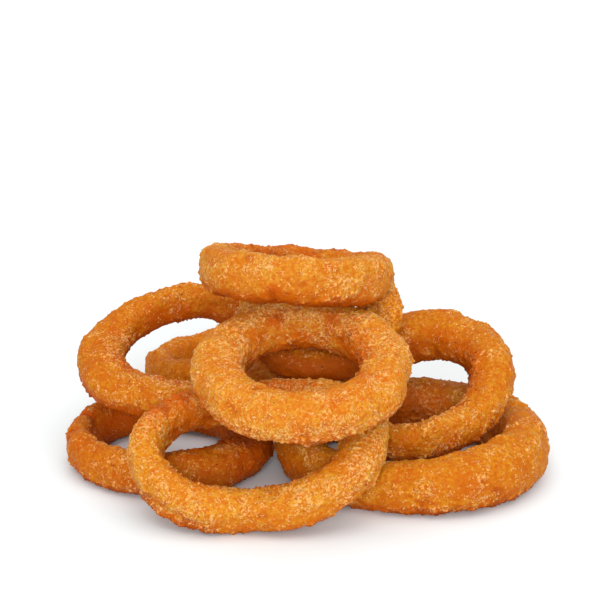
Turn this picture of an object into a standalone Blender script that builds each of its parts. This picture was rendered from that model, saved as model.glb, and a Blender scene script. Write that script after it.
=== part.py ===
"""A side of fried onion rings: nine crumbed rings in a loose stack, as they lie.

Every ring is one solid of its own: a hoop of onion in a thick, lumpy crust. The rings
are laid one after another, and each comes down until it meets the ground or the rings
below it. Metres, +Z up, with the origin under the middle of the stack.
"""
import math

import bpy
from mathutils import Matrix, Vector
from mathutils.bvhtree import BVHTree

MM = 0.001

# Driving dimensions of every ring.
RING_STEPS = 44
SECTION_STEPS = 12
SQUARENESS = 2.3
LUMP = 0.35 * MM

# How the rings lie: the gap to what holds them, and how deep the ground flattens a crust.
GAP = 0.4 * MM
PRESS = 0.5 * MM
DROP_FROM = 120 * MM
DROP_STEP = 1.5 * MM
FINEST_STEP = 0.05 * MM


def remove_all_objects():
    for old in list(bpy.data.objects):
        bpy.data.objects.remove(old, do_unlink=True)


def new_collection(name):
    collection = bpy.data.collections.new(name)
    bpy.context.scene.collection.children.link(collection)
    return collection


def crust_material(name, colour):
    material = bpy.data.materials.new(name)
    material.use_nodes = True
    shader = material.node_tree.nodes["Principled BSDF"]
    shader.inputs["Base Color"].default_value = (*colour, 1.0)
    shader.inputs["Roughness"].default_value = 0.6
    shader.inputs["Metallic"].default_value = 0.0
    return material


def wave(angle, times, turned):
    """A ripple that goes round the ring so many times, turned by so many degrees."""
    return math.cos(times * (angle - math.radians(turned)))


def squared(value):
    """Turns a circle's sine or cosine into that of the crust's boxy section."""
    return math.copysign(abs(value) ** (2 / SQUARENESS), value)


def shape_crust(mesh, ring):
    """Gives a plain torus the ring's oval plan, uneven crust and saddle bend."""
    half_wide = ring["wide"] * MM / 2
    half_tall = ring["tall"] * MM / 2
    half_step = math.pi / SECTION_STEPS
    for vertex in mesh.vertices:
        x, y, z = vertex.co
        around = math.atan2(y, x)
        section = math.atan2(z, math.hypot(x, y) - 1.0) + half_step
        lump = LUMP * (wave(around, 5, ring["turned"]) + wave(around, 8, 2 * ring["turned"]))
        reach = ring["radius"] * MM * (1 + ring["oval"] * wave(around, 2, ring["oval_to"]))
        fat = 1 + ring["fat"] * wave(around, 1, ring["fat_to"])
        out = reach + (half_wide * fat + lump) * squared(math.cos(section))
        lift = ring["saddle"] * MM * wave(around, 2, ring["saddle_to"])
        high = 1 + ring["high"] * wave(around, 1, ring["high_to"])
        height = lift + (half_tall * high - lump) * squared(math.sin(section))
        vertex.co = (out * math.cos(around), out * math.sin(around), height)


def fried_ring(name, colour, radius, wide, tall, turned, oval=0.0, oval_to=0.0,
               fat=0.0, fat_to=0.0, high=0.0, high_to=0.0, saddle=0.0, saddle_to=0.0):
    """One ring, flat at the origin: radius to the crust's middle, wide and tall its section, in mm."""
    bpy.ops.mesh.primitive_torus_add(
        major_segments=RING_STEPS, minor_segments=SECTION_STEPS, major_radius=1.0, minor_radius=0.2
    )
    ring = bpy.context.object
    ring.name = name
    ring.data.name = name
    shape_crust(ring.data, {
        "radius": radius, "wide": wide, "tall": tall, "turned": turned,
        "oval": oval, "oval_to": oval_to, "fat": fat, "fat_to": fat_to,
        "high": high, "high_to": high_to, "saddle": saddle, "saddle_to": saddle_to,
    })
    ring.data.shade_smooth()
    ring.data.materials.append(crust_material(name, colour))
    return ring


def surface(ring):
    """The ring's surface where it stands, for finding what touches it."""
    points = [ring.matrix_world @ vertex.co for vertex in ring.data.vertices]
    faces = [tuple(face.vertices) for face in ring.data.polygons]
    return BVHTree.FromPolygons(points, faces, all_triangles=False)


def too_close(points, tree):
    """Whether any of these points is nearer to that surface than the gap."""
    return any(tree.find_nearest(point, GAP)[0] is not None for point in points)


def touches(ring, height, pile):
    """Whether the ring, with its middle at this height, meets the ground or the pile."""
    ring.location.z = height
    bpy.context.view_layer.update()
    points = [ring.matrix_world @ vertex.co for vertex in ring.data.vertices]
    if min(point.z for point in points) < -PRESS:
        return True
    tree = surface(ring)
    for other_points, other_tree in pile:
        if tree.overlap(other_tree) or too_close(points, other_tree) or too_close(other_points, tree):
            return True
    return False


def lay(ring, at, pile, leans_to=0.0, tilt=0.0):
    """Tilts the ring, its low side towards leans_to, and lowers it until it rests."""
    low_side = math.radians(leans_to)
    hinge = Vector((-math.sin(low_side), math.cos(low_side), 0.0))
    ring.rotation_mode = "QUATERNION"
    ring.rotation_quaternion = Matrix.Rotation(math.radians(tilt), 3, hinge).to_quaternion()
    ring.location = (at[0] * MM, at[1] * MM, DROP_FROM)
    step = DROP_STEP
    height = DROP_FROM
    while step > FINEST_STEP:
        if touches(ring, height - step, pile):
            step /= 2
        else:
            height -= step
    ring.location.z = height
    bpy.context.view_layer.update()
    pile.append(([ring.matrix_world @ vertex.co for vertex in ring.data.vertices], surface(ring)))


def press_flat(ring):
    """Flattens what little of the crust would stand below the ground."""
    to_ring = ring.matrix_world.inverted()
    for vertex in ring.data.vertices:
        here = ring.matrix_world @ vertex.co
        if here.z < 0.0:
            here.z = 0.0
            vertex.co = to_ring @ here


def centre_on_ground(rings):
    """Moves the stack so that the middle of its box, seen from above, is the origin."""
    corners = [ring.matrix_world @ vertex.co for ring in rings for vertex in ring.data.vertices]
    middle = Vector((
        (min(point.x for point in corners) + max(point.x for point in corners)) / 2,
        (min(point.y for point in corners) + max(point.y for point in corners)) / 2,
        min(point.z for point in corners),
    ))
    for ring in rings:
        ring.location -= middle
    bpy.context.view_layer.update()


remove_all_objects()
stack = new_collection("onion_rings_side")
pile = []

# The widest ring lies flat on the ground at the right and carries the right ring.
base_right = fried_ring("ring_base_right", (0.56, 0.25, 0.05), radius=39, wide=18, tall=19.4,
                        turned=10, oval=0.04, oval_to=-25, fat=0.15, fat_to=45, high=0.105, high_to=30)
lay(base_right, at=(37, -7), pile=pile, leans_to=-150, tilt=1.5)

# Its neighbour on the ground at the left is thinner on its outer side.
base_left = fried_ring("ring_base_left", (0.52, 0.22, 0.05), radius=30, wide=16, tall=15.9,
                       turned=40, fat=-0.12, fat_to=180, high=0.063, high_to=135)
lay(base_left, at=(-50.5, 1), pile=pile, leans_to=-45, tilt=1)

# The right ring dips into the hole of the widest one, its left side on that ring's inner edge.
right = fried_ring("ring_right", (0.50, 0.21, 0.05), radius=30, wide=15.5, tall=15.5, turned=110,
                   fat=-0.33, fat_to=-108, saddle=-0.9, saddle_to=-75)
lay(right, at=(37, 4), pile=pile, leans_to=-117, tilt=22)

# The front ring is long from side to side: near side on the ground, far side up under the centre ring.
front = fried_ring("ring_front", (0.60, 0.28, 0.06), radius=30.5, wide=15, tall=15.5, turned=75,
                   oval=0.23, oval_to=0, fat=0.15, fat_to=0, saddle=-3.3, saddle_to=-90)
lay(front, at=(-17.5, -41), pile=pile, leans_to=-101, tilt=26)

# The back left ring lies behind the stack: low side on the ground, near side on the left base ring.
back_left = fried_ring("ring_back_left", (0.58, 0.27, 0.06), radius=34, wide=13.5, tall=13.5,
                       turned=150, high=0.1, high_to=90)
lay(back_left, at=(-24, 72), pile=pile, leans_to=128, tilt=12.5)

# The left ring lies on the back left one and leans down to the front ring.
left = fried_ring("ring_left", (0.54, 0.24, 0.05), radius=30, wide=13.5, tall=14, turned=20,
                  oval=0.06, oval_to=30, fat=0.3, fat_to=-135, saddle=-3, saddle_to=-10)
lay(left, at=(-45, 21.5), pile=pile, leans_to=-75, tilt=21)

# The back ring lies from the right ring to the left one and carries the two highest ones.
back = fried_ring("ring_back", (0.50, 0.21, 0.05), radius=25.5, wide=13, tall=13, turned=60,
                  oval=-0.07, oval_to=0, fat=-0.3, fat_to=180, high=0.1, high_to=0,
                  saddle=-1.8, saddle_to=-90)
lay(back, at=(3, 25), pile=pile, leans_to=-90, tilt=20)

# The centre ring lies on the back ring and over the front one, tipped forward.
centre = fried_ring("ring_centre", (0.60, 0.28, 0.06), radius=29, wide=18.5, tall=16.5, turned=95)
lay(centre, at=(-2, -30), pile=pile, leans_to=-96, tilt=13)

# The top ring is small and tall, thickest in front. It lies on the back and centre rings, tipped back.
top = fried_ring("ring_top", (0.58, 0.26, 0.05), radius=25.5, wide=15, tall=18, turned=130,
                 oval=0.08, oval_to=15, fat=0.3, fat_to=-93)
lay(top, at=(-3.5, 8), pile=pile, leans_to=77, tilt=15)

rings = [base_right, base_left, front, right, back_left, left, back, centre, top]
for ring in rings:
    press_flat(ring)
centre_on_ground(rings)
for ring in rings:
    for collection in list(ring.users_collection):
        collection.objects.unlink(ring)
    stack.objects.link(ring)
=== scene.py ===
"""Nine fried onion rings in a loose stack: each ring of the frame gets its own crumbed crust."""
import math

import bpy
import numpy as np
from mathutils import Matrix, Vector


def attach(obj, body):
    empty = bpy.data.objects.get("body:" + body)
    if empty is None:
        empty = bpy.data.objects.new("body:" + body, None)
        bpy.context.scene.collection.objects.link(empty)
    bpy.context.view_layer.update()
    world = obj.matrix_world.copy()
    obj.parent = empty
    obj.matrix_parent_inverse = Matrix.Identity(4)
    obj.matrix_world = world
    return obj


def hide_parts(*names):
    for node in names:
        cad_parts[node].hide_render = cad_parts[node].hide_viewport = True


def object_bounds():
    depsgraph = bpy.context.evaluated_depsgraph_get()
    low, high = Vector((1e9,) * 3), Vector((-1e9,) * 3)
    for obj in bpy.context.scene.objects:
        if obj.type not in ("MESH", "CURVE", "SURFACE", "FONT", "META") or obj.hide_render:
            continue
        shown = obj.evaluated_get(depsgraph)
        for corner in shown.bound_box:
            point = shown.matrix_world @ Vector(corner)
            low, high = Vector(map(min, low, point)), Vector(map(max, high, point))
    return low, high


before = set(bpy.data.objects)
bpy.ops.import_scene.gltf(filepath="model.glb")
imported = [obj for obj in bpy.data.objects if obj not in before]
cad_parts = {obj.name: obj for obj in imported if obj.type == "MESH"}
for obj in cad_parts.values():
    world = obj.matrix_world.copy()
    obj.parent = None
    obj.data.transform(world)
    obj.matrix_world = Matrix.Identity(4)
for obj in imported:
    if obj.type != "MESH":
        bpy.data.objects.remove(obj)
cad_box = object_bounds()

MM = 0.001


# ------------------------------------------------------------------ the widest ring, on the ground
# A thick hoop of onion in batter and fine crumbs, fried golden. The batter makes the soft lumps,
# and the crumbs lie on it in rough patches, thickest where it was torn from another ring. It is
# shaped from the ring of the frame, crumbs are strewn on it, and all is fused into one skin.

BATTER_LUMP = 2.0 * MM
CRUMB_SIZE = 1.4 * MM
SMALLEST_CRUMB = (0.3, 0.35, 0.25)
LARGEST_CRUMB = (1.5, 1.0, 0.7)
FEW_CRUMBS = 0.05 / MM ** 2
MORE_CRUMBS = 0.35 / MM ** 2
FULL_TURN = (6.3, 6.3, 6.3)
# The pale crumb colour is also the colour of painted highlights on crumb tips and of painted glints on
# fine grains.
PALE_CRUMB_AND_HIGHLIGHT = (0.85, 0.52, 0.21)
# The reddish colour goes where the browning marks are strongest, partly real browning and partly painted
# shade.
REDDISH_CRUST_AND_SHADE = (0.35, 0.062, 0.001)
BURNT_SPECK = (0.07, 0.02, 0.006)


def only(piece):
    """Selects this piece alone and makes it the active one."""
    bpy.ops.object.select_all(action="DESELECT")
    piece.select_set(True)
    bpy.context.view_layer.objects.active = piece


def modify(piece, kind, **settings):
    """Adds one modifier with these settings and applies it."""
    only(piece)
    modifier = piece.modifiers.new(kind.title(), kind)
    for setting, value in settings.items():
        setattr(modifier, setting, value)
    bpy.ops.object.modifier_apply(modifier=modifier.name)


def grow(piece, tree, **values):
    """Applies a geometry node tree, its inputs set by name."""
    only(piece)
    modifier = piece.modifiers.new(tree.name, "NODES")
    modifier.node_group = tree
    for socket in tree.interface.items_tree:
        if socket.name in values:
            modifier[socket.identifier] = values[socket.name]
    bpy.ops.object.modifier_apply(modifier=modifier.name)


def corners(piece):
    """The places and normals of a piece's vertices, as arrays in metres."""
    count = len(piece.data.vertices)
    places = np.empty(count * 3, np.float32)
    normals = np.empty(count * 3, np.float32)
    piece.data.vertices.foreach_get("co", places)
    piece.data.vertices.foreach_get("normal", normals)
    return places.reshape(-1, 3).astype(float), normals.reshape(-1, 3).astype(float)


def move_corners(piece, places):
    """Puts a piece's vertices at these places."""
    piece.data.vertices.foreach_set("co", places.astype(np.float32).ravel())
    piece.data.update()


def apart(angles, angle):
    """How far these angles are from that one, the short way round, in radians."""
    return abs(np.angle(np.exp(1j * (angles - angle))))


class Hoop:
    """How a ring lies: its middle, its axis and its centre line, to name a place on its crust.

    A place is an angle round the ring, seen from above with 0 at +X, and an angle round its
    section: 0 is the outer side, 90 the top, 180 the inner side and -90 the underside.
    """

    def __init__(self, ring):
        co = np.array([vertex.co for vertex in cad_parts[ring].data.vertices], float)
        self.middle = (co.min(0) + co.max(0)) / 2
        spread = np.linalg.svd(co - co.mean(0), full_matrices=False)[2]
        self.axis = spread[2] * np.sign(spread[2][2])
        self.side = np.cross([0.0, 1.0, 0.0], self.axis)
        self.side /= np.linalg.norm(self.side)
        self.ahead = np.cross(self.axis, self.side)
        around, reach, rise = self.flat(co)
        self.stops = np.radians(np.arange(-180, 181, 10))
        near = [apart(around, stop) < np.radians(9) for stop in self.stops]
        self.reach = [(reach[pick].max() + reach[pick].min()) / 2 for pick in near]
        self.rise = [(rise[pick].max() + rise[pick].min()) / 2 for pick in near]

    def flat(self, co):
        """Each point's angle round the axis, its distance from the axis and its height along it."""
        away = co - self.middle
        across, up = away @ self.side, away @ self.ahead
        return np.arctan2(up, across), np.hypot(across, up), away @ self.axis

    def angles(self, co):
        """The angle round the ring and the angle round the section, for each point."""
        around, reach, rise = self.flat(co)
        out = reach - np.interp(around, self.stops, self.reach)
        high = rise - np.interp(around, self.stops, self.rise)
        return around, np.arctan2(high, out)

    def spot(self, co, around, section, long, broad):
        """1 at a place on the crust, fading to 0 over so many degrees each way."""
        here, turn = self.angles(co)
        off = np.degrees(apart(here, math.radians(around)))
        roll = np.degrees(apart(turn, math.radians(section)))
        return np.exp(-(off / long) ** 2 - (roll / broad) ** 2)


def node(tree, kind, sockets=None, **settings):
    """Adds one node, with its inputs set or wired, and returns it."""
    made = tree.nodes.new(kind)
    for setting, value in settings.items():
        setattr(made, setting, value)
    for key, value in (sockets or {}).items():
        if isinstance(value, bpy.types.NodeSocket):
            tree.links.new(value, made.inputs[key])
        else:
            made.inputs[key].default_value = value
    return made


def sums(tree, operation, *values):
    """A Math node's result."""
    return node(tree, "ShaderNodeMath", dict(enumerate(values)), operation=operation).outputs[0]


def ramp(tree, value, low, high):
    """A smooth step: 0 below low and 1 above high, or the other way round."""
    sockets = {"Value": value, "From Min": low, "From Max": high}
    return node(tree, "ShaderNodeMapRange", sockets, interpolation_type="SMOOTHSTEP").outputs["Result"]


def noise(tree, place, size, detail=2.0):
    """Soft clouds of about this size, as a node: its Fac is their strength and its Color a random push."""
    return node(tree, "ShaderNodeTexNoise", {"Vector": place, "Scale": 1 / size, "Detail": detail})


def clouds(tree, place, size, detail=2.0):
    """The strength of soft clouds of about this size, around 0.5."""
    return noise(tree, place, size, detail).outputs["Fac"]


def grains(tree, place, size):
    """Cells of about this size: the distance from each one's middle, and a random value for each."""
    return node(tree, "ShaderNodeTexVoronoi", {"Vector": place, "Scale": 1 / size})


def scaled(tree, vector, factor):
    """A vector made longer or shorter."""
    return node(tree, "ShaderNodeVectorMath", {0: vector, "Scale": factor}, operation="SCALE").outputs[0]


def moved(tree, place, by):
    """A place moved by a vector."""
    return node(tree, "ShaderNodeVectorMath", {0: place, 1: by}, operation="ADD").outputs[0]


def shifted_place(tree, given):
    """Where a point is, moved by the ring's own shift, so that no two rings have the same crust."""
    return moved(tree, node(tree, "GeometryNodeInputPosition").outputs[0], given["Shift"])


def crowded(tree, place, given):
    """1 where the crumbs lie thick, in drifts and at the ragged places, and 0 where they are few."""
    ragged = node(tree, "GeometryNodeInputNamedAttribute", {"Name": "ragged"}, data_type="FLOAT")
    drifts = sums(tree, "ADD", clouds(tree, place, 9 * MM), given["Patches"])
    return ramp(tree, sums(tree, "ADD", drifts, ragged.outputs["Attribute"]), 0.45, 0.66)


def strewn_crumbs_tree():
    """Strews knobbly little crumbs of many sizes on the crust, thick in drifts and few elsewhere."""
    tree = bpy.data.node_groups.new("strewn crumbs", "GeometryNodeTree")
    face = tree.interface
    face.new_socket("Geometry", in_out="INPUT", socket_type="NodeSocketGeometry")
    face.new_socket("Patches", in_out="INPUT", socket_type="NodeSocketFloat")
    face.new_socket("Seed", in_out="INPUT", socket_type="NodeSocketInt")
    face.new_socket("Shift", in_out="INPUT", socket_type="NodeSocketVector")
    face.new_socket("Geometry", in_out="OUTPUT", socket_type="NodeSocketGeometry")
    given = node(tree, "NodeGroupInput").outputs

    crowd = crowded(tree, shifted_place(tree, given), given)
    density = sums(tree, "MULTIPLY_ADD", crowd, MORE_CRUMBS, FEW_CRUMBS)
    points = node(tree, "GeometryNodeDistributePointsOnFaces",
                  {"Mesh": given["Geometry"], "Density": density, "Seed": given["Seed"]})

    ball = node(tree, "GeometryNodeMeshIcoSphere", {"Radius": CRUMB_SIZE / 2, "Subdivisions": 2})
    at = node(tree, "GeometryNodeInputPosition").outputs[0]
    push = moved(tree, noise(tree, at, 0.9 * MM, 1.0).outputs["Color"], (-0.5, -0.5, -0.5))
    knobbly = scaled(tree, push, 1.6 * MM)
    crumb = node(tree, "GeometryNodeSetPosition", {"Geometry": ball.outputs["Mesh"], "Offset": knobbly})
    turn = node(tree, "FunctionNodeRandomValue", {"Max": FULL_TURN}, data_type="FLOAT_VECTOR")
    size = node(tree, "FunctionNodeRandomValue", {"Min": SMALLEST_CRUMB, "Max": LARGEST_CRUMB},
                data_type="FLOAT_VECTOR")
    crumbs = node(tree, "GeometryNodeInstanceOnPoints",
                  {"Points": points.outputs["Points"], "Instance": crumb.outputs[0],
                   "Rotation": turn.outputs[0], "Scale": size.outputs[0]})
    real = node(tree, "GeometryNodeRealizeInstances", {"Geometry": crumbs.outputs[0]})
    both = node(tree, "GeometryNodeJoinGeometry")
    tree.links.new(given["Geometry"], both.inputs[0])
    tree.links.new(real.outputs[0], both.inputs[0])
    node(tree, "NodeGroupOutput", {"Geometry": both.outputs[0]})
    return tree


def crust_relief_tree():
    """Raises lumps, crumbs and curled flakes, and stores how high each place stands."""
    tree = bpy.data.node_groups.new("crust relief", "GeometryNodeTree")
    face = tree.interface
    face.new_socket("Geometry", in_out="INPUT", socket_type="NodeSocketGeometry")
    for name in ("Lump", "Crumb", "Patches"):
        face.new_socket(name, in_out="INPUT", socket_type="NodeSocketFloat")
    face.new_socket("Shift", in_out="INPUT", socket_type="NodeSocketVector")
    face.new_socket("Geometry", in_out="OUTPUT", socket_type="NodeSocketGeometry")
    given = node(tree, "NodeGroupInput").outputs

    # The batter: wide lumps, and dimples half as deep.
    place = shifted_place(tree, given)
    lumps = sums(tree, "SUBTRACT", clouds(tree, place, 13 * MM), 0.5)
    dimples = sums(tree, "SUBTRACT", clouds(tree, place, 4.5 * MM, 1.0), 0.5)

    # The crumbs: big ones and curled flakes where they crowd, and small ones all over.
    patch = crowded(tree, place, given)
    swayed = moved(tree, place, scaled(tree, noise(tree, place, 1.6 * MM).outputs["Color"], 1.3 * MM))
    big = grains(tree, swayed, 1.9 * MM)
    standing = ramp(tree, big.outputs["Color"], 0.3, 0.7)
    domes = sums(tree, "MULTIPLY", ramp(tree, big.outputs["Distance"], 0.6, 0.1), standing)
    small = grains(tree, swayed, 1.2 * MM)
    beads = sums(tree, "MULTIPLY", ramp(tree, small.outputs["Distance"], 0.7, 0.1),
                 ramp(tree, small.outputs["Color"], 0.1, 0.9))
    curl = clouds(tree, swayed, 2.2 * MM, 1.0)
    flakes = ramp(tree, sums(tree, "ABSOLUTE", sums(tree, "SUBTRACT", curl, 0.5)), 0.06, 0.0)
    rough = sums(tree, "MULTIPLY", patch,
                 sums(tree, "MAXIMUM", domes, sums(tree, "MULTIPLY", flakes, 0.9)))
    grain = sums(tree, "MULTIPLY_ADD", beads, 0.45, rough)

    # How far each place moves out or in, and what the materials need to know of it.
    height = sums(tree, "MULTIPLY_ADD", lumps, given["Lump"],
                  sums(tree, "MULTIPLY", sums(tree, "SUBTRACT", grain, 0.3), given["Crumb"]))
    height = sums(tree, "MULTIPLY_ADD", dimples, sums(tree, "MULTIPLY", given["Lump"], 0.5), height)
    out = scaled(tree, node(tree, "GeometryNodeInputNormal").outputs[0], height)
    crust = given["Geometry"]
    for name, value in (("raised", grain), ("crumbed", patch)):
        crust = node(tree, "GeometryNodeStoreNamedAttribute",
                     {"Geometry": crust, "Name": name, "Value": value},
                     data_type="FLOAT", domain="POINT").outputs[0]
    crust = node(tree, "GeometryNodeSetPosition", {"Geometry": crust, "Offset": out}).outputs[0]
    node(tree, "NodeGroupOutput", {"Geometry": crust})
    return tree


strewn_crumbs = strewn_crumbs_tree()
crust_relief = crust_relief_tree()


def mark(piece, name, values):
    """Stores a value for each vertex, for the node trees and materials to read."""
    held = piece.data.attributes.get(name) or piece.data.attributes.new(name, "FLOAT", "POINT")
    held.data.foreach_set("value", np.asarray(values, np.float32))


def strength(hoop, co, places):
    """How strong a mark is at each point: its places added up."""
    total = np.zeros(len(co))
    for around, section, long, broad, much in places.values():
        total += much * hoop.spot(co, around, section, long, broad)
    return total


def fried_ring(ring, name, seed, ragged={}, browned_and_shade={}, dents={}, crumb=0.55, patches=0.0, skin=0.5):
    """One ring in its crust, its crumbs so many mm high and its skin as fine as so many mm.

    Ragged, the browning marks and dents name places on the ring: the angle round it, the angle round its
    section, how far the mark reaches each way in degrees, and how strong it is. The browning marks darken
    the crust: some are real browning, and some are painted shade where the hole or other rings shade it.
    A dent's strength is its depth in mm, and below 0 it is a swelling. Patches spreads the crumbs wider or
    draws them in.
    """
    hoop = Hoop(ring)
    piece = bpy.data.objects.new(name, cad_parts[ring].data.copy())
    bpy.context.scene.collection.objects.link(piece)
    piece.data.materials.clear()
    only(piece)
    bpy.ops.object.mode_set(mode="EDIT")
    bpy.ops.mesh.select_all(action="SELECT")
    bpy.ops.mesh.remove_doubles(threshold=0.01 * MM)
    bpy.ops.mesh.customdata_custom_splitnormals_clear()
    flat_enough = math.radians(60)
    bpy.ops.mesh.tris_convert_to_quads(face_threshold=flat_enough, shape_threshold=flat_enough)
    bpy.ops.object.mode_set(mode="OBJECT")
    modify(piece, "SUBSURF", levels=3, render_levels=3)

    co, normals = corners(piece)
    for around, section, long, broad, deep in dents.values():
        co -= normals * (hoop.spot(co, around, section, long, broad) * deep * MM)[:, None]
    move_corners(piece, co)
    mark(piece, "ragged", strength(hoop, co, ragged))
    shift = Vector((seed * 0.37, seed * 0.11, seed * 0.23))
    grow(piece, strewn_crumbs, Patches=patches, Seed=seed, Shift=shift)
    modify(piece, "REMESH", mode="VOXEL", voxel_size=skin * MM)

    co, normals = corners(piece)
    mark(piece, "ragged", strength(hoop, co, ragged))
    grow(piece, crust_relief, Lump=BATTER_LUMP, Crumb=crumb * MM, Patches=patches, Shift=shift)

    # The wall of the hole and the underside are darkened more than the rest, partly real browning and
    # partly painted shade, and then come the ring's own marks, some of them painted shade.
    co, normals = corners(piece)
    inner = np.clip(-np.cos(hoop.angles(co)[1]), 0, 1)
    under = np.clip(0.15 - normals[:, 2], 0, 1)
    mark(piece, "browned_and_shade", 0.3 * inner + 0.8 * under + strength(hoop, co, browned_and_shade))
    move_corners(piece, np.clip(co, *np.array(cad_box)))
    bpy.ops.object.shade_smooth()
    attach(piece, "root")
    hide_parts(ring)
    return piece


def fried_crust_group():
    """The look of fried crumbs: golden and browned clouds with painted shade in them, pale curls, pale
    grains that partly stand for painted glints, painted highlights on crumb tips, painted shade in
    hollows, and dark specks.
    """
    tree = bpy.data.node_groups.new("fried crust", "ShaderNodeTree")
    face = tree.interface
    for name in ("Golden", "Browned and shade", "Pale", "Reddish"):
        face.new_socket(name, in_out="INPUT", socket_type="NodeSocketColor")
    face.new_socket("Pale crumbs and glints", in_out="INPUT", socket_type="NodeSocketFloat")
    face.new_socket("Color", in_out="OUTPUT", socket_type="NodeSocketColor")
    face.new_socket("Roughness", in_out="OUTPUT", socket_type="NodeSocketFloat")
    face.new_socket("Height", in_out="OUTPUT", socket_type="NodeSocketFloat")
    given = node(tree, "NodeGroupInput").outputs
    place = node(tree, "ShaderNodeTexCoord").outputs["Object"]

    def held(name):
        """A value that was stored on the crust."""
        return node(tree, "ShaderNodeAttribute", attribute_name=name).outputs["Fac"]

    def mix(factor, first, second):
        """The first colour going over into the second one."""
        made = node(tree, "ShaderNodeMix", data_type="RGBA")
        for index, value in ((0, factor), (6, first), (7, second)):
            if isinstance(value, bpy.types.NodeSocket):
                tree.links.new(value, made.inputs[index])
            else:
                made.inputs[index].default_value = value
        return made.outputs[2]

    def times(first, second):
        return sums(tree, "MULTIPLY", first, second)

    raised = held("raised")
    browned_and_shade = held("browned_and_shade")
    crumbed = held("crumbed")

    # The batter, golden with browned clouds and small mottles, and reddish where the browning marks are
    # strongest.
    # Those marks hold real browning and painted shade, so the darker, redder places are partly painted
    # shade.
    toasted_and_shaded = ramp(tree, sums(tree, "MULTIPLY_ADD", browned_and_shade, 0.45, clouds(tree, place, 11 * MM, 3.0)),
                   0.46, 0.9)
    colour = mix(toasted_and_shaded, given["Golden"], given["Browned and shade"])
    mottled = ramp(tree, clouds(tree, place, 1.6 * MM), 0.45, 0.7)
    colour = mix(times(mottled, 0.6), colour, given["Browned and shade"])
    reddened_and_shaded = ramp(tree, sums(tree, "MULTIPLY_ADD", browned_and_shade, 0.22, clouds(tree, place, 7 * MM)), 0.64, 0.8)
    colour = mix(reddened_and_shaded, colour, given["Reddish"])

    # The tips of the crumbs are painted pale, partly their own paler crumb and partly a painted highlight,
    # less so where the browning marks are strong, and the hollows between them are darkened as painted
    # shade.
    paler = ramp(tree, browned_and_shade, 1.4, 0.1)
    pale_tips_and_highlight = ramp(tree, raised, 0.3, 1.0)
    colour = mix(times(times(pale_tips_and_highlight, 0.5), paler), colour, given["Pale"])
    hollow_shade = ramp(tree, raised, 0.1, 0.0)
    colour = mix(times(hollow_shade, 0.5), colour, given["Browned and shade"])

    # Thin curls of pale crumb, broken into short ends and thickest where the crumbs crowd.
    bent = moved(tree, place, scaled(tree, noise(tree, place, 0.9 * MM).outputs["Color"], 0.8 * MM))
    line = sums(tree, "ABSOLUTE", sums(tree, "SUBTRACT", clouds(tree, bent, 1.8 * MM, 1.0), 0.5))
    strewn = sums(tree, "MULTIPLY_ADD", clouds(tree, place, 6 * MM), 0.6, given["Pale crumbs and glints"])
    strewn = sums(tree, "MULTIPLY_ADD", crumbed, 0.14, strewn)
    broken = ramp(tree, sums(tree, "MULTIPLY_ADD", strewn, 0.8, clouds(tree, place, 2.3 * MM, 1.0)),
                  0.9, 1.05)
    curls = times(ramp(tree, line, 0.045, 0.0), broken)
    colour = mix(times(times(curls, 0.85), paler), colour, given["Pale"])

    # Fine grains, some pale, partly pale crumbs and partly painted glints, and some browned, and here and
    # there a burnt speck.
    fine = grains(tree, place, 0.7 * MM)
    bead = ramp(tree, fine.outputs["Distance"], 0.7, 0.1)
    chosen = ramp(tree, sums(tree, "MULTIPLY_ADD", strewn, 0.9, fine.outputs["Color"]), 1.1, 1.35)
    pale_grain_and_glint = times(chosen, bead)
    colour = mix(times(times(pale_grain_and_glint, 0.68), paler), colour, given["Pale"])
    dark_grain = ramp(tree, fine.outputs["Color"], 0.4, 0.12)
    colour = mix(times(dark_grain, 0.7), colour, given["Browned and shade"])
    sparse = grains(tree, place, 3.4 * MM)
    speck = times(ramp(tree, sparse.outputs["Distance"], 0.11, 0.06),
                  ramp(tree, sparse.outputs["Color"], 0.55, 0.6))
    colour = mix(times(speck, 0.8), colour, (*BURNT_SPECK, 1.0))

    # A dry crust with small oily spots, and the height of its grains and curls.
    oily = ramp(tree, clouds(tree, place, 1.1 * MM, 1.0), 0.5, 0.66)
    rough = sums(tree, "SUBTRACT", 0.62, times(oily, 0.34))
    crisp = clouds(tree, place, 0.5 * MM)
    height = sums(tree, "MULTIPLY_ADD", bead, 0.5, sums(tree, "MULTIPLY_ADD", curls, 0.9, crisp))
    node(tree, "NodeGroupOutput", {"Color": colour, "Roughness": rough, "Height": height})
    return tree


fried_crust = fried_crust_group()


def crust_material(piece, golden, browned_and_shade, pale_crumbs_and_glints):
    """A ring's own tint of fried crust, and how many of its crumbs stay pale, some of them painted glints.
    """
    material = bpy.data.materials.new(piece.name.replace("crust", "fried_crust"))
    material.use_nodes = True
    tree = material.node_tree
    shader = tree.nodes["Principled BSDF"]
    look = node(tree, "ShaderNodeGroup", node_tree=fried_crust)
    for name, colour in (("Golden", golden), ("Browned and shade", browned_and_shade),
                         ("Pale", PALE_CRUMB_AND_HIGHLIGHT), ("Reddish", REDDISH_CRUST_AND_SHADE)):
        look.inputs[name].default_value = (*colour, 1.0)
    look.inputs["Pale crumbs and glints"].default_value = pale_crumbs_and_glints
    bump = node(tree, "ShaderNodeBump",
                {"Height": look.outputs["Height"], "Strength": 1.0, "Distance": 0.22 * MM})
    tree.links.new(look.outputs["Color"], shader.inputs["Base Color"])
    tree.links.new(look.outputs["Roughness"], shader.inputs["Roughness"])
    tree.links.new(bump.outputs["Normal"], shader.inputs["Normal"])
    shader.inputs["Specular IOR Level"].default_value = 0.07
    shader.inputs["Subsurface Weight"].default_value = 0.5
    shader.inputs["Subsurface Radius"].default_value = (1.0, 0.35, 0.08)
    shader.inputs["Subsurface Scale"].default_value = 1.0 * MM
    piece.data.materials.clear()
    piece.data.materials.append(material)


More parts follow.
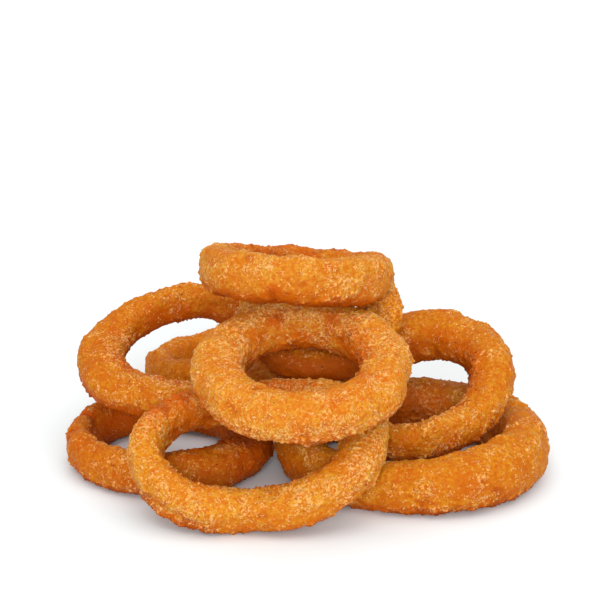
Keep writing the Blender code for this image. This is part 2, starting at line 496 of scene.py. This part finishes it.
crust = fried_ring(
    "ring_base_right", "crust_base_right", seed=1, skin=0.54,
    ragged={
        "torn far wall of the hole": (105, 150, 30, 50, 0.9),
        "crumbs on top at the left": (160, 110, 24, 40, 0.4),
        "near lower edge": (-75, -50, 90, 22, 0.3),
    },
    browned_and_shade={
        "torn far wall of the hole": (112, 150, 24, 60, 1.2),
        # Painted shade: the far wall of the hole is darkened for the shade inside it, and the near lower
        # edge, partly real browning, for the shade under it.
        "far wall of the hole": (80, 165, 40, 60, 0.4),
        "near lower edge": (-75, -60, 90, 20, 0.8),
        "cloud in front": (-55, 10, 22, 26, 0.2),
        "left end": (-165, 20, 26, 60, 0.4),
    },
    dents={
        "crease at the right": (16, 70, 2.5, 40, 0.9),
        "crease behind it": (25, 60, 2.5, 34, 0.7),
        "swollen near inner side": (-52, 125, 34, 40, -2.2),
        "flat at the right front": (-20, 30, 18, 24, 0.8),
        "swollen left end": (-170, 10, 26, 50, -1.4),
    },
)
crust_material(crust, golden=(0.522, 0.201, 0.008), browned_and_shade=(0.445, 0.090, 0.001), pale_crumbs_and_glints=0.13)


# ------------------------------------------------------------------ the left ring on the ground
# A smaller hoop of the same onion and crumbs. It was cut thin at its left end, where the batter has
# sagged into two folds as it fried; its inner wall has few crumbs, and the ground has flattened it.

crust = fried_ring(
    "ring_base_left", "crust_base_left", seed=2, patches=-0.02,
    ragged={
        "smooth far wall of the hole": (110, 180, 60, 60, -0.5),
        "near lower edge": (-110, -45, 50, 22, 0.4),
    },
    browned_and_shade={
        # Painted shade: the far wall of the hole is darkened for the shade inside it, and the near lower
        # edge partly too, beside real browning.
        "far wall of the hole": (110, 180, 70, 60, 0.7),
        "near lower edge": (-110, -60, 80, 22, 0.9),
        "far fold": (162, 60, 3.5, 50, 1.2),
        "near fold": (187, 40, 3.5, 42, 1.2),
        # Painted shade: the right side is darkened where the other rings shade it.
        "right side, under the other rings": (-10, 60, 45, 120, 1.1),
    },
    dents={
        "thin left end": (172, 140, 50, 55, 4.2),
        "far fold": (162, 60, 3, 50, 1.6),
        "near fold": (187, 40, 3, 42, 1.4),
        "flat at the near left": (-140, 60, 14, 26, 0.8),
    },
)
crust_material(crust, golden=(0.493, 0.165, 0.006), browned_and_shade=(0.42, 0.071, 0.001), pale_crumbs_and_glints=0.12)


# ------------------------------------------------------------------ the two rings that lean on them
# The right ring dips into the hole of the widest one, and the front ring leans back on both.
# Where rings were fried against each other the batter tore, and left ragged, browned crumbs; where they
# rest on each other their crust is also darkened as painted shade.

crust = fried_ring(
    "ring_right", "crust_right", seed=3,
    ragged={
        "torn under the far arc": (100, -150, 38, 28, 0.8),
        "right wall of the hole": (-25, 165, 28, 30, 0.6),
        "near edge of the hole": (-95, 130, 38, 20, 0.5),
        "near lower edge": (-85, -55, 60, 25, 0.5),
        "smooth far top": (70, 60, 40, 50, -0.1),
    },
    browned_and_shade={
        # Partly real and partly painted shade: the torn crumbs under the far arc are darkened where the
        # ring rests on the widest one, and so is the near lower edge.
        "torn under the far arc": (105, -150, 38, 34, 1.6),
        "near lower edge": (-85, -55, 65, 28, 0.9),
        # Painted shade: the right wall of the hole is darkened for the shade inside it.
        "right wall of the hole": (-10, 165, 36, 45, 1.0),
        "near edge of the hole": (-90, 130, 30, 14, 0.5),
    },
    dents={
        "flat at the far right": (40, 20, 16, 40, 0.8),
        "flat on top at the near right": (-60, 100, 14, 30, 0.8),
        "flat at the far side": (95, 40, 18, 30, 0.6),
        "swollen under the far arc": (95, -155, 36, 40, -2.2),
    },
)
crust_material(crust, golden=(0.513, 0.201, 0.009), browned_and_shade=(0.445, 0.090, 0.001), pale_crumbs_and_glints=0.13)

crust = fried_ring(
    "ring_front", "crust_front", seed=4, patches=0.02,
    ragged={
        "crumbed patch at the left": (-128, 25, 14, 26, 0.3),
        "flap at the left foot": (-142, -42, 24, 18, 0.9),
        "smooth front": (-82, -20, 26, 34, -0.3),
        "left bend": (165, 60, 22, 36, 0.2),
        "near edge of the hole": (-100, 152, 55, 22, 0.4),
        "right front": (-30, 40, 24, 50, 0.2),
        "far crest": (75, 80, 45, 40, 0.4),
    },
    browned_and_shade={
        # Painted shade: the far left arc is darkened where the centre ring shades it.
        "far left arc": (118, 70, 34, 70, 0.8),
        "left bend": (152, 60, 22, 60, 0.7),
        "far crest": (75, 95, 30, 60, 0.5),
        "pale patch at the left": (-128, 25, 12, 24, -0.7),
        "flap at the left foot": (-145, -40, 24, 16, 1.6),
        "near edge of the hole": (-100, 155, 55, 22, 0.6),
        # The underside is darker, partly real browning and partly painted shade.
        "underside": (-90, -75, 120, 20, 0.6),
    },
    dents={
        "flap at the left foot": (-142, -38, 22, 14, -1.5),
        "groove above the flap": (-138, -10, 18, 12, 0.7),
        "swollen far crest": (85, 95, 32, 50, -2.6),
        "flat at the near left": (-110, 60, 14, 24, 0.6),
        "flat in front": (-70, 20, 16, 24, 0.7),
        "flat at the near right": (-45, 60, 12, 26, 0.7),
    },
)
crust_material(crust, golden=(0.567, 0.246, 0.016), browned_and_shade=(0.50, 0.105, 0.001), pale_crumbs_and_glints=0.2)


# ------------------------------------------------------------------ the three rings behind
# The back left ring lies low behind the stack, the left ring on it, and the back ring holds up the
# two highest. Their batter ran smoother: the left ring is crumbed most along the edge of its hole.

crust = fried_ring(
    "ring_back_left", "crust_back_left", seed=5, skin=0.56, patches=-0.06,
    dents={
        "flat at the near left": (-150, 40, 20, 40, 0.8),
        "flat at the near right": (-60, 60, 18, 40, 0.7),
        "flat at the far side": (80, 50, 24, 40, 0.8),
    },
)
crust_material(crust, golden=(0.58, 0.197, 0.004), browned_and_shade=(0.42, 0.086, 0.001), pale_crumbs_and_glints=0.1)

crust = fried_ring(
    "ring_left", "crust_left", seed=6, patches=-0.03,
    ragged={
        "near left edge of the hole": (-140, 128, 28, 26, 1.0),
        "near edge of the hole": (-95, 120, 30, 22, 0.8),
        "near lower edge": (-125, -50, 40, 26, 0.5),
    },
    browned_and_shade={
        "near left edge of the hole": (-140, 135, 26, 20, 0.5),
        "near edge of the hole": (-95, 128, 30, 20, 0.2),
        # The near lower edge is darker, partly real browning and partly painted shade.
        "near lower edge": (-125, -45, 46, 36, 1.5),
        "outer side, behind": (90, -20, 60, 60, 0.5),
        "top, beside the centre ring": (-60, 100, 24, 60, 0.4),
        "above the front ring": (-85, -25, 30, 40, 0.8),
    },
    dents={
        "flat at the left": (-175, 60, 14, 36, 0.9),
        "flat at the far left": (150, 70, 12, 36, 0.9),
        "flat at the far side": (110, 60, 14, 40, 0.7),
        "flat at the near left": (-120, 60, 16, 30, 0.6),
        "swollen left wall of the hole": (-165, 170, 34, 50, -1.7),
        "swollen under the far arc": (105, -150, 50, 40, -1.6),
    },
)
crust_material(crust, golden=(0.503, 0.186, 0.008), browned_and_shade=(0.435, 0.082, 0.001), pale_crumbs_and_glints=0.13)

crust = fried_ring(
    "ring_back", "crust_back", seed=7, skin=0.52,
    ragged={
        "right shoulder": (20, 60, 40, 60, 0.3),
        "smooth near side": (-90, 20, 60, 90, -0.3),
    },
    browned_and_shade={
        # Painted shade: the near side is darkened where the centre ring shades it.
        "near side, behind the centre ring": (-90, -10, 52, 90, 1.2),
    },
)
# The back ring's golden is lighter than the other rings', a painted light against the top ring's shade on
# it, and its browned colour is darker, painted shade for its near side.
crust_material(crust, golden=(0.70, 0.248, 0.008), browned_and_shade=(0.36, 0.072, 0.001), pale_crumbs_and_glints=0.17)


# ------------------------------------------------------------------ the two rings on top
# The centre ring is thick and the best crumbed. The top one was cut tall from a small onion: its
# sides are steep, its crumbs fine and even, and its near rim hides most of its narrow hole.

crust = fried_ring(
    "ring_centre", "crust_centre", seed=8, patches=0.03,
    ragged={
        "near lower edge": (-90, -25, 70, 26, 0.25),
        "far crest": (90, 112, 46, 24, 0.5),
        "left end of the hole": (180, 150, 22, 44, 0.4),
        "right end of the hole": (0, 150, 22, 44, 0.4),
        "smooth near top": (-90, 60, 40, 26, -0.2),
    },
    browned_and_shade={
        "scorched spot on the far crest": (112, 128, 7, 14, 0.9),
        "another to the right of it": (62, 128, 7, 14, 0.9),
        # The underside is darker, partly real browning and partly painted shade.
        "underside": (-95, -72, 110, 24, 0.9),
        "lower left end": (-165, -30, 20, 22, 0.8),
        # Painted light and shade: the far wall of the hole is painted a touch lighter, and the right end
        # of the hole and the far crest under the top ring are darkened for the shade that falls there.
        "painted light on the far wall of the hole": (90, 180, 60, 40, -0.1),
        "right end of the hole": (0, 165, 34, 40, 0.8),
        "far crest, under the top ring": (90, 90, 50, 40, 0.3),
    },
    dents={
        "flat on the near top": (-90, 70, 26, 22, 0.7),
        "flat at the near left": (-130, 40, 16, 26, 0.7),
        "flat at the near right": (-40, 55, 16, 26, 0.7),
        "swollen far crest": (80, 80, 36, 40, -0.9),
    },
)
crust_material(crust, golden=(0.562, 0.244, 0.020), browned_and_shade=(0.52, 0.107, 0.001), pale_crumbs_and_glints=0.2)

crust = fried_ring(
    "ring_top", "crust_top", seed=9, patches=-0.02, crumb=0.45,
    ragged={
        "near rim": (-100, 118, 34, 16, 0.5),
        "torn spot below": (-68, -52, 9, 12, 0.6),
    },
    browned_and_shade={
        # Painted shade: the far wall of the hole is darkened for the shade inside it.
        "far wall of the hole": (90, 180, 50, 40, 1.3),
        "far rim": (90, 90, 60, 50, 0.6),
        # Painted shade: the edge of the near rim is darkened as the shade of the hidden hole behind it.
        "painted shade at the edge of the near rim": (-97, 124, 28, 14, 1.7),
        "streak down the front": (-106, -32, 4, 16, 1.6),
        "torn spot below": (-68, -52, 9, 10, 1.3),
        # The underside is darker, partly real browning and partly painted shade.
        "underside": (-90, -70, 100, 22, 0.9),
    },
    dents={
        "low near rim": (-90, 100, 60, 34, 3.0),
        "full near shoulder": (-90, 45, 60, 20, -0.5),
        "steep front": (-90, 10, 60, 24, 0.5),
        "flat at the near right": (-60, 60, 12, 20, 0.4),
        "full left shoulder": (180, 45, 30, 22, -0.8),
        "full right shoulder": (5, 45, 30, 22, -0.8),
        "full belly": (-80, -60, 50, 34, -1.6),
    },
)
crust_material(crust, golden=(0.55, 0.240, 0.020), browned_and_shade=(0.485, 0.101, 0.001), pale_crumbs_and_glints=0.17)


# ------------------------------------------------------------------ the floor, the light and the camera
# A plain white surface, a little cool to even out the warm air of the room. The light is soft and
# wide: most of it comes from the front and from above, and a little from behind.

COOL_WHITE = (0.765, 0.842, 0.895, 1.0)
WARM_AIR = (1.0, 0.88, 0.76, 1.0)

bpy.ops.object.select_all(action="DESELECT")
bpy.ops.mesh.primitive_plane_add(size=12.0, location=(0, 0, 0))
floor = bpy.context.object
floor.name = "floor"
white = bpy.data.materials.new("floor")
white.use_nodes = True
paint = white.node_tree.nodes["Principled BSDF"]
paint.inputs["Base Color"].default_value = COOL_WHITE
paint.inputs["Roughness"].default_value = 0.9
paint.inputs["Specular IOR Level"].default_value = 0.1
floor.data.materials.append(white)

world = bpy.data.worlds.new("studio")
bpy.context.scene.world = world
world.use_nodes = True
air = world.node_tree.nodes["Background"]
air.inputs["Color"].default_value = WARM_AIR
air.inputs["Strength"].default_value = 0.6


def soft_sun(name, strength, azimuth, elevation, spread):
    """Broad even light from this direction in degrees: 0 is in front, and 90 to the right of that."""
    light = bpy.data.lights.new(name, "SUN")
    light.energy = strength
    light.angle = math.radians(spread)
    lamp = bpy.data.objects.new(name, light)
    bpy.context.scene.collection.objects.link(lamp)
    across, up = math.radians(azimuth), math.radians(elevation)
    towards = Vector((math.sin(across) * math.cos(up), -math.cos(across) * math.cos(up), math.sin(up)))
    lamp.rotation_euler = towards.to_track_quat("Z", "Y").to_euler()


soft_sun("key", strength=1.9, azimuth=-4, elevation=21, spread=22)
soft_sun("fill", strength=0.5, azimuth=30, elevation=24, spread=60)
soft_sun("overhead", strength=1.5, azimuth=0, elevation=80, spread=70)
soft_sun("rear", strength=0.35, azimuth=165, elevation=30, spread=60)

# The camera looks down at a point above the stack's middle and nearer than it.
AIM_FROM_MIDDLE = Vector((-2.0, -19.3, 18.5)) * MM
CAMERA_DISTANCE = 750 * MM
LOOKS_DOWN = math.radians(18.5)

low, high = cad_box
aim = (Vector(low) + Vector(high)) / 2 + AIM_FROM_MIDDLE
eye = bpy.data.cameras.new("camera")
eye.lens = 126.8
camera = bpy.data.objects.new("camera", eye)
bpy.context.scene.collection.objects.link(camera)
back = Vector((0.0, -math.cos(LOOKS_DOWN), math.sin(LOOKS_DOWN)))
camera.location = aim + back * CAMERA_DISTANCE
camera.rotation_euler = back.to_track_quat("Z", "Y").to_euler()
bpy.context.scene.camera = camera
bpy.context.scene.view_settings.view_transform = "Standard"
